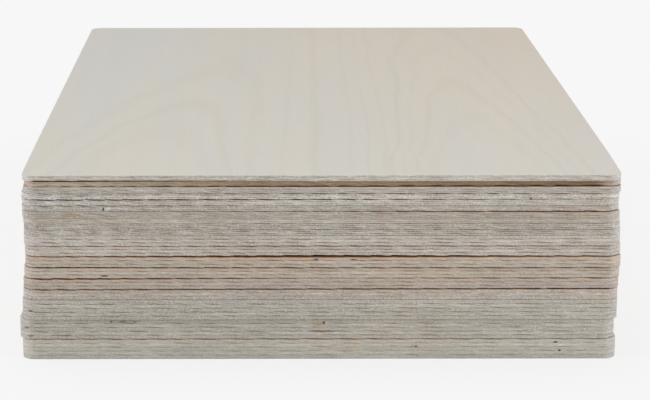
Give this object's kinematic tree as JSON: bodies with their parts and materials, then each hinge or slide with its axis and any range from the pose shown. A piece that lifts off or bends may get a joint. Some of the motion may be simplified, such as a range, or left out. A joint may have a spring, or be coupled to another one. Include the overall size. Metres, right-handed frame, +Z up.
{
  "type": "stack of plywood sheets",
  "caption": "Squared stack of craft plywood sheets in several thicknesses, with rounded corners, lying flat one on another.",
  "frame": {"origin": "centre of the stack's footprint, on the bottom sheet's underside", "axes": "+Z up through the sheets; +Y along the face grain, away from the front; +X across the stack to the right"},
  "size_m": [0.2029, 0.3012, 0.0638],
  "materials": {
    "plywood": "sanded bare pale veneer, matt"
  },
  "bodies": {
    "root": {"sheet_01": "plywood", "sheet_02": "plywood", "sheet_03": "plywood", "sheet_04": "plywood", "sheet_05": "plywood", "sheet_06": "plywood", "sheet_07": "plywood", "sheet_08": "plywood", "sheet_09": "plywood", "sheet_10": "plywood", "sheet_11": "plywood", "sheet_12": "plywood", "sheet_13": "plywood", "sheet_14": "plywood", "sheet_15": "plywood", "sheet_16": "plywood", "sheet_17": "plywood", "sheet_18": "plywood", "sheet_19": "plywood"}
  },
  "joints": []
}
